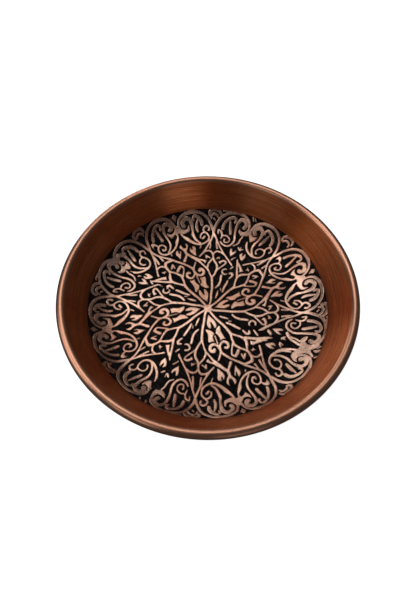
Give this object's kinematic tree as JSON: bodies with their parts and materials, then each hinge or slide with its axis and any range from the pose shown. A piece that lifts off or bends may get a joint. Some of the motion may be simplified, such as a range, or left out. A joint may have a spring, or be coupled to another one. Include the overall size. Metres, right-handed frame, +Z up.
{
  "type": "round tray",
  "caption": "Round dished copper tray: arabesque of scrolls and leaves struck into a blackened floor, plain brushed flaring wall, and a rim rolled over a wire.",
  "frame": {"origin": "on the tray's axis, in the plane that the tray stands on", "axes": "+Z up along the tray's axis; +X to the right and +Y away from the viewer of the usual view"},
  "size_m": [0.2, 0.2, 0.0298],
  "materials": {
    "aged_copper": "aged copper: wall and rim brushed round the tray, raised ornament rubbed bright, sunk ground blackened",
    "rim_steel": "plain drawn wire, dull grey, hidden inside the rolled rim"
  },
  "bodies": {
    "root": {"tray_body": "aged_copper", "rim_wire": "rim_steel"}
  },
  "joints": []
}
